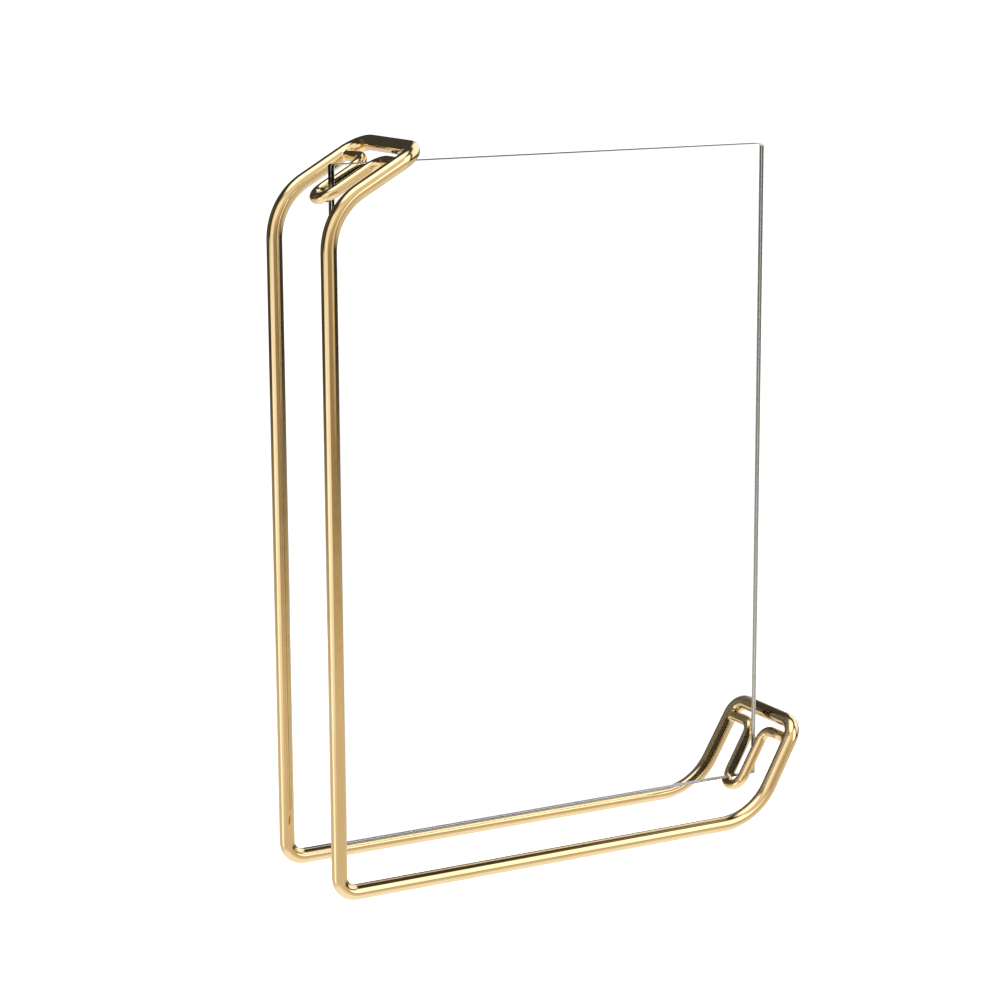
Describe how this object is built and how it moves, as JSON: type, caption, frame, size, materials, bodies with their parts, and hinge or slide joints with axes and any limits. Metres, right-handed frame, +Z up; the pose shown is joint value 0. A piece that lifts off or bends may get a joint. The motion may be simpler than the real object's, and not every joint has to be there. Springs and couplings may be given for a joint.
{
  "type": "photo stand",
  "caption": "Bent brass wire photo stand: a hoop with two sloping wire clips grips a pair of glass panes by opposite corners.",
  "frame": {"origin": "on the surface the stand rests on, midway along the rails and midway between front and rear", "axes": "+Z up, +X along the rails towards the lower clip, +Y from the front to the rear"},
  "size_m": [0.1473, 0.0378, 0.196],
  "materials": {
    "brass_wire": "polished",
    "clear_glass": "polished"
  },
  "bodies": {
    "base": {"base_hairpin": "brass_wire", "lower_clip_tongue": "brass_wire"},
    "upright": {"upright_hairpin": "brass_wire", "upper_clip_tongue": "brass_wire"},
    "front_glass": {"front_pane": "clear_glass"},
    "rear_glass": {"rear_pane": "clear_glass"}
  },
  "joints": [
    {"name": "spring_open", "type": "hinge", "parent": "base", "child": "upright", "pos_m": [-0.07157, 0, 0.03205], "axis": [0, -1, 0], "range_deg": [0, 3], "stiffness_Nm_per_rad": 11},
    {"name": "front_pane_lift", "type": "slide", "parent": "base", "child": "front_glass", "axis": [-0.7071, 0, 0.7071], "range_m": [0, 0.0023]},
    {"name": "rear_pane_lift", "type": "slide", "parent": "base", "child": "rear_glass", "axis": [-0.7071, 0, 0.7071], "range_m": [0, 0.0023]}
  ]
}
